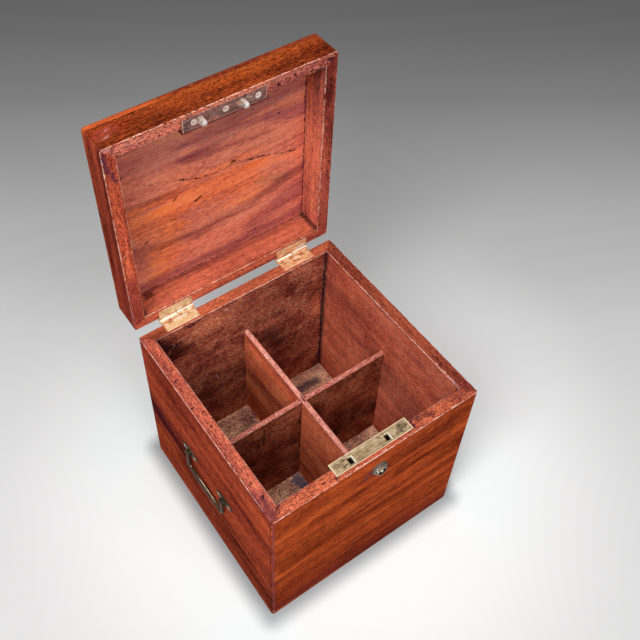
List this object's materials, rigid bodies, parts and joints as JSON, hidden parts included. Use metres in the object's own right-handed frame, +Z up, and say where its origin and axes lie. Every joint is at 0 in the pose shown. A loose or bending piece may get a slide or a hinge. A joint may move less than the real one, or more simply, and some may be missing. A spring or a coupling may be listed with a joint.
{
  "type": "decanter box",
  "caption": "Square mahogany case with a hinged lid, crossed dividers for bottles, a front lock with a round key barrel and drop handles on the sides.",
  "frame": {"origin": "centre of the case's underside", "axes": "+Z up, +Y towards the hinges at the back, -Y towards the lock, +X to the right of someone facing the lock"},
  "size_m": [0.2406, 0.2742, 0.446],
  "materials": {
    "mahogany_case": "worn French polish",
    "mahogany_lid": "worn French polish",
    "mahogany_lid_board": "old wax",
    "mahogany_dividers": "bare, darkened",
    "bottom_wood": "bare, stained",
    "lock_brass": "aged",
    "lock_steel": "worn",
    "lock_iron": "rusted brown",
    "link_iron": "dark",
    "link_steel": "polished by use",
    "hinge_brass": "aged",
    "handle_brass": "aged green grey",
    "screw_brass": "worn",
    "screw_steel": "worn"
  },
  "bodies": {
    "box": {"front_board": "mahogany_case", "back_board": "mahogany_case", "left_board": "mahogany_case", "right_board": "mahogany_case", "bottom_board": "bottom_wood", "bottom_brads": "lock_iron", "long_divider": "mahogany_dividers", "cross_divider": "mahogany_dividers", "lock_selvedge": "lock_brass", "lock_case": "lock_brass", "lock_cover": "lock_brass", "lock_screws": "screw_steel", "lock_guide_pins": "lock_iron", "lock_nozzle": "lock_steel", "lock_centre_pin": "lock_steel", "left_hinge_box_leaf": "hinge_brass", "left_hinge_pin": "hinge_brass", "left_hinge_box_screws": "screw_brass", "left_handle_plates": "handle_brass", "left_handle_pins": "handle_brass", "left_handle_screws": "screw_brass", "right_hinge_box_leaf": "hinge_brass", "right_hinge_pin": "hinge_brass", "right_hinge_box_screws": "screw_brass", "right_handle_plates": "handle_brass", "right_handle_pins": "handle_brass", "right_handle_screws": "screw_brass"},
    "lid": {"lid_top_board": "mahogany_lid_board", "lid_front_rail": "mahogany_lid", "lid_back_rail": "mahogany_lid", "lid_left_rail": "mahogany_lid", "lid_right_rail": "mahogany_lid", "link_plate": "link_iron", "link_packing_block": "mahogany_lid", "link_hooks": "link_steel", "link_screws": "screw_steel", "left_hinge_lid_leaf": "hinge_brass", "left_hinge_lid_screws": "screw_brass", "right_hinge_lid_leaf": "hinge_brass", "right_hinge_lid_screws": "screw_brass"},
    "lock_barrel": {"lock_barrel": "lock_steel"},
    "lock_bolt": {"lock_bolt": "lock_iron"},
    "left_handle": {"left_handle_bail": "handle_brass"},
    "right_handle": {"right_handle_bail": "handle_brass"}
  },
  "joints": [
    {"name": "lid_hinge", "type": "hinge", "parent": "box", "child": "lid", "pos_m": [0, 0.1199, 0.21115], "axis": [1, 0, 0], "range_deg": [0, 90]},
    {"name": "barrel_turn", "type": "hinge", "parent": "box", "child": "lock_barrel", "pos_m": [0.0005, -0.114, 0.1875], "axis": [0, 1, 0], "range_deg": [0, 80]},
    {"name": "bolt_slide", "type": "slide", "parent": "box", "child": "lock_bolt", "axis": [1, 0, 0], "range_m": [0, 0.00643]},
    {"name": "left_handle_swing", "type": "hinge", "parent": "box", "child": "left_handle", "pos_m": [-0.118, -0.002, 0.117], "axis": [0, 1, 0], "range_deg": [0, 180]},
    {"name": "right_handle_swing", "type": "hinge", "parent": "box", "child": "right_handle", "pos_m": [0.118, -0.002, 0.117], "axis": [0, -1, 0], "range_deg": [0, 180]}
  ],
  "couplings": [
    {"joint": "bolt_slide", "follows": "barrel_turn", "m_per_rad": 0.0046036}
  ]
}
